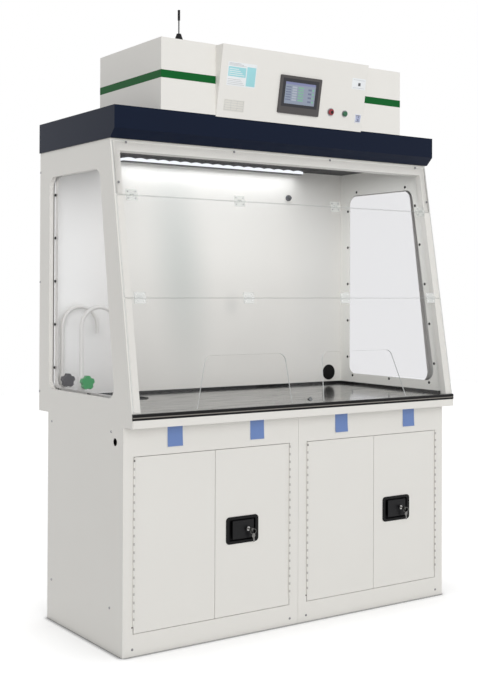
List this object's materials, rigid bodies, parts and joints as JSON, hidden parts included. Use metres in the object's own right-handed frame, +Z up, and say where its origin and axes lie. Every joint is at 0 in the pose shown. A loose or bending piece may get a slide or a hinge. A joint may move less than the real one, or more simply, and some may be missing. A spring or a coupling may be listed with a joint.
{
  "type": "ductless fume hood",
  "caption": "Ductless fume hood with clear folding front flaps, side windows, filter casing and touch console, on twin base cabinets with piano-hinged doors.",
  "frame": {"origin": "on the floor, in the middle of the bounding box", "axes": "+X to the user's right along the front, +Y from the front to the back, +Z up"},
  "size_m": [1.5096, 0.7506, 2.261],
  "materials": {
    "white_powder_coat": "fine satin powder coat on steel",
    "hinge_steel": "plain steel",
    "blue_film": "thin film",
    "green_tape": "tape",
    "worktop_black": "polished solid laminate",
    "black_polypropylene": "moulded",
    "latch_black": "moulded",
    "lock_chrome": "turned",
    "green_knob": "moulded",
    "grey_knob": "moulded",
    "clear_acrylic": "clear cast acrylic",
    "probe_grey": "moulded",
    "knob_steel": "turned",
    "lamp_aluminium": "anodised",
    "lamp_diffuser": "translucent",
    "black_coat": "satin powder coat",
    "filter_foam": "open foam",
    "navy_coat": "satin powder coat",
    "carbon_frame": "plain",
    "hepa_frame": "plain",
    "fan_steel": "galvanised",
    "bezel_grey": "moulded",
    "display_glass": "display",
    "stop_red": "moulded",
    "start_green": "moulded",
    "collar_metal": "turned",
    "rocker_blue": "moulded",
    "antenna_black": "moulded"
  },
  "bodies": {
    "hood": {"carcass_left": "white_powder_coat", "carcass_right": "white_powder_coat", "front_frames": "white_powder_coat", "shelves": "white_powder_coat", "worktop_frame": "white_powder_coat", "side_skin_left": "white_powder_coat", "side_skin_right": "white_powder_coat", "side_liner_left": "white_powder_coat", "side_liner_right": "white_powder_coat", "back_panel": "white_powder_coat", "back_liner": "white_powder_coat", "face_frame": "white_powder_coat", "filter_casing": "white_powder_coat", "console_housing": "white_powder_coat", "gooseneck_taps": "white_powder_coat", "exhaust_grille": "white_powder_coat", "hinge_frame_leaves": "hinge_steel", "panel_screws": "hinge_steel", "film_tabs": "blue_film", "stripe_tapes": "green_tape", "worktop": "worktop_black", "cup_sink": "black_polypropylene", "port_cap": "latch_black", "side_windows": "clear_acrylic", "top_pane": "clear_acrylic", "sash_hinge_fixed_leaves": "clear_acrylic", "air_probe": "probe_grey", "lamp_housing": "lamp_aluminium", "lamp_strip": "lamp_diffuser", "ceiling_panel": "black_coat", "prefilter": "filter_foam", "header_cover": "navy_coat", "carbon_filter": "carbon_frame", "hepa_filter": "hepa_frame", "fan_motor": "fan_steel", "screen_bezel": "bezel_grey", "touch_screen": "display_glass", "button_collars": "collar_metal", "antenna": "antenna_black"},
    "door_left_a": {"door_left_a": "white_powder_coat"},
    "door_left_b": {"door_left_b": "white_powder_coat", "latch_dish_left": "latch_black"},
    "door_right_a": {"door_right_a": "white_powder_coat"},
    "door_right_b": {"door_right_b": "white_powder_coat", "latch_dish_right": "latch_black"},
    "paddle_left": {"latch_paddle_left": "latch_black"},
    "paddle_right": {"latch_paddle_right": "latch_black"},
    "lock_left": {"lock_cylinder_left": "lock_chrome"},
    "lock_right": {"lock_cylinder_right": "lock_chrome"},
    "middle_flap": {"middle_flap": "clear_acrylic", "sash_hinge_middle_leaves": "clear_acrylic"},
    "lower_flap": {"lower_flap": "clear_acrylic", "sash_hinge_lower_leaves": "clear_acrylic", "sash_knob": "knob_steel"},
    "fan": {"fan_wheel": "fan_steel"},
    "green_tap": {"tap_knob_green": "green_knob"},
    "grey_tap": {"tap_knob_grey": "grey_knob"},
    "stop_button": {"stop_button": "stop_red"},
    "start_button": {"start_button": "start_green"},
    "rocker": {"rocker_switch": "rocker_blue"}
  },
  "joints": [
    {"name": "door_left_a_hinge", "type": "hinge", "parent": "hood", "child": "door_left_a", "pos_m": [-0.7085, -0.30297, 0.388], "axis": [0, 0, -1], "range_deg": [0, 110]},
    {"name": "door_left_b_hinge", "type": "hinge", "parent": "hood", "child": "door_left_b", "pos_m": [-0.042, -0.30297, 0.388], "axis": [0, 0, 1], "range_deg": [0, 90]},
    {"name": "door_right_a_hinge", "type": "hinge", "parent": "hood", "child": "door_right_a", "pos_m": [0.042, -0.30297, 0.388], "axis": [0, 0, -1], "range_deg": [0, 90]},
    {"name": "door_right_b_hinge", "type": "hinge", "parent": "hood", "child": "door_right_b", "pos_m": [0.7085, -0.30297, 0.388], "axis": [0, 0, 1], "range_deg": [0, 110]},
    {"name": "paddle_left_pull", "type": "hinge", "parent": "door_left_b", "child": "paddle_left", "pos_m": [-0.20625, -0.29417, 0.382], "axis": [0, 0, 1], "range_deg": [0, 35], "stiffness_Nm_per_rad": 0.15},
    {"name": "paddle_right_pull", "type": "hinge", "parent": "door_right_b", "child": "paddle_right", "pos_m": [0.54425, -0.29417, 0.382], "axis": [0, 0, 1], "range_deg": [0, 35], "stiffness_Nm_per_rad": 0.15},
    {"name": "lock_left_turn", "type": "hinge", "parent": "paddle_left", "child": "lock_left", "pos_m": [-0.23125, -0.29967, 0.382], "axis": [0, -1, 0], "range_deg": [0, 90]},
    {"name": "lock_right_turn", "type": "hinge", "parent": "paddle_right", "child": "lock_right", "pos_m": [0.51925, -0.29967, 0.382], "axis": [0, -1, 0], "range_deg": [0, 90]},
    {"name": "middle_flap_lift", "type": "hinge", "parent": "hood", "child": "middle_flap", "pos_m": [0, -0.23633, 1.58158], "axis": [-1, 0, 0], "range_deg": [0, 90]},
    {"name": "lower_flap_lift", "type": "hinge", "parent": "middle_flap", "child": "lower_flap", "pos_m": [0, -0.29809, 1.22358], "axis": [-1, 0, 0], "range_deg": [0, 120]},
    {"name": "fan_spin", "type": "hinge", "parent": "hood", "child": "fan", "pos_m": [0, -0.00437, 2.06], "axis": [0, 0, 1], "continuous": true},
    {"name": "green_tap_turn", "type": "hinge", "parent": "hood", "child": "green_tap", "pos_m": [-0.682, 0.11233, 0.905], "axis": [0, -1, 0], "range_deg": [0, 90]},
    {"name": "grey_tap_turn", "type": "hinge", "parent": "hood", "child": "grey_tap", "pos_m": [-0.692, 0.25433, 0.905], "axis": [0, -1, 0], "range_deg": [0, 90]},
    {"name": "stop_button_press", "type": "slide", "parent": "hood", "child": "stop_button", "axis": [0, 0.9833, 0.1822], "range_m": [0, 0.003], "stiffness_N_per_m": 300},
    {"name": "start_button_press", "type": "slide", "parent": "hood", "child": "start_button", "axis": [0, 0.9833, 0.1822], "range_m": [0, 0.003], "stiffness_N_per_m": 300},
    {"name": "rocker_tip", "type": "hinge", "parent": "hood", "child": "rocker", "pos_m": [0.3315, -0.24696, 1.93615], "axis": [-1, 0, 0], "range_deg": [0, 18]}
  ]
}
